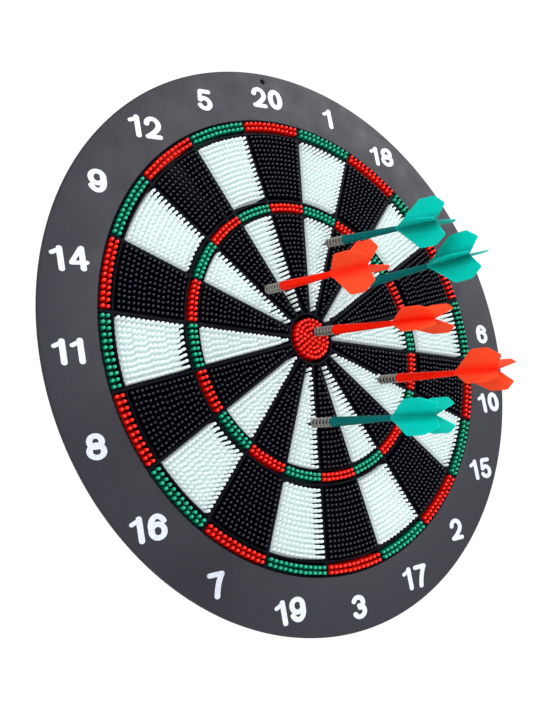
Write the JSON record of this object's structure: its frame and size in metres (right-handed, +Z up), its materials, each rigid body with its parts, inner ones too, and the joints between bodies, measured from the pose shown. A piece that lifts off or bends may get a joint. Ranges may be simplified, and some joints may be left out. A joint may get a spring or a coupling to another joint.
{
  "type": "soft-tip safety dartboard",
  "caption": "Round wall dartboard of soft rubber pins in coloured scoring sectors, with soft-tip darts that pull straight out.",
  "frame": {"origin": "centre of the flat back of the tray, on the wall plane", "axes": "+Z up with the 20 sector at the top, +Y into the wall, so the face looks along -Y, +X to the right as seen from the front"},
  "size_m": [0.416, 0.1401, 0.416],
  "materials": {
    "ring_grey": "dark grey, fine matte grain, rounded edge",
    "grid_grey": "dark grey, smooth matte",
    "print_white": "white screen print of the sector numbers",
    "tray_black": "near-black, lightly textured",
    "pin_black": "black soft rubber, satin",
    "pin_white": "milky white soft rubber, satin",
    "pin_red": "bright red soft rubber, glossy tips",
    "pin_green": "deep green soft rubber, glossy tips",
    "tip_grey": "grey soft rubber with ribs",
    "shaft_teal": "dark teal, satin",
    "flight_teal": "bright teal thin sheet, satin",
    "shaft_red": "bright red, satin",
    "flight_red": "tomato red thin sheet, satin"
  },
  "bodies": {
    "board": {"number_ring": "ring_grey", "spider_grid": "grid_grey", "back_tray": "tray_black", "black_pin_mat": "pin_black", "bullseye_pad": "pin_red", "red_double_ring": "pin_red", "green_double_ring": "pin_green", "red_triple_ring": "pin_red", "green_triple_ring": "pin_green", "white_outer_pad_1": "pin_white", "white_outer_pad_4": "pin_white", "white_outer_pad_6": "pin_white", "white_outer_pad_15": "pin_white", "white_outer_pad_17": "pin_white", "white_outer_pad_19": "pin_white", "white_outer_pad_16": "pin_white", "white_outer_pad_11": "pin_white", "white_outer_pad_9": "pin_white", "white_outer_pad_5": "pin_white", "white_inner_pad_1": "pin_white", "white_inner_pad_4": "pin_white", "white_inner_pad_6": "pin_white", "white_inner_pad_15": "pin_white", "white_inner_pad_17": "pin_white", "white_inner_pad_19": "pin_white", "white_inner_pad_16": "pin_white", "white_inner_pad_11": "pin_white", "white_inner_pad_9": "pin_white", "white_inner_pad_5": "pin_white"},
    "teal_dart_1": {"teal_dart_1_tip": "tip_grey", "teal_dart_1_shaft": "shaft_teal", "teal_dart_1_flight": "flight_teal"},
    "teal_dart_2": {"teal_dart_2_tip": "tip_grey", "teal_dart_2_shaft": "shaft_teal", "teal_dart_2_flight": "flight_teal"},
    "teal_dart_3": {"teal_dart_3_tip": "tip_grey", "teal_dart_3_shaft": "shaft_teal", "teal_dart_3_flight": "flight_teal"},
    "red_dart_1": {"red_dart_1_tip": "tip_grey", "red_dart_1_shaft": "shaft_red", "red_dart_1_flight": "flight_red"},
    "red_dart_2": {"red_dart_2_tip": "tip_grey", "red_dart_2_shaft": "shaft_red", "red_dart_2_flight": "flight_red"},
    "red_dart_3": {"red_dart_3_tip": "tip_grey", "red_dart_3_shaft": "shaft_red", "red_dart_3_flight": "flight_red"}
  },
  "joints": [
    {"name": "teal_dart_1_pull", "type": "slide", "parent": "board", "child": "teal_dart_1", "axis": [-0.0428, -0.98, -0.1942], "range_m": [0, 0.06]},
    {"name": "teal_dart_2_pull", "type": "slide", "parent": "board", "child": "teal_dart_2", "axis": [0.0191, -0.996, -0.0872], "range_m": [0, 0.06]},
    {"name": "teal_dart_3_pull", "type": "slide", "parent": "board", "child": "teal_dart_3", "axis": [0.0208, -0.9919, -0.1253], "range_m": [0, 0.06]},
    {"name": "red_dart_1_pull", "type": "slide", "parent": "board", "child": "red_dart_1", "axis": [-0.0879, -0.9846, -0.1513], "range_m": [0, 0.06]},
    {"name": "red_dart_2_pull", "type": "slide", "parent": "board", "child": "red_dart_2", "axis": [0.0137, -0.9847, -0.1736], "range_m": [0, 0.06]},
    {"name": "red_dart_3_pull", "type": "slide", "parent": "board", "child": "red_dart_3", "axis": [-0.0363, -0.9891, -0.1426], "range_m": [0, 0.06]}
  ]
}
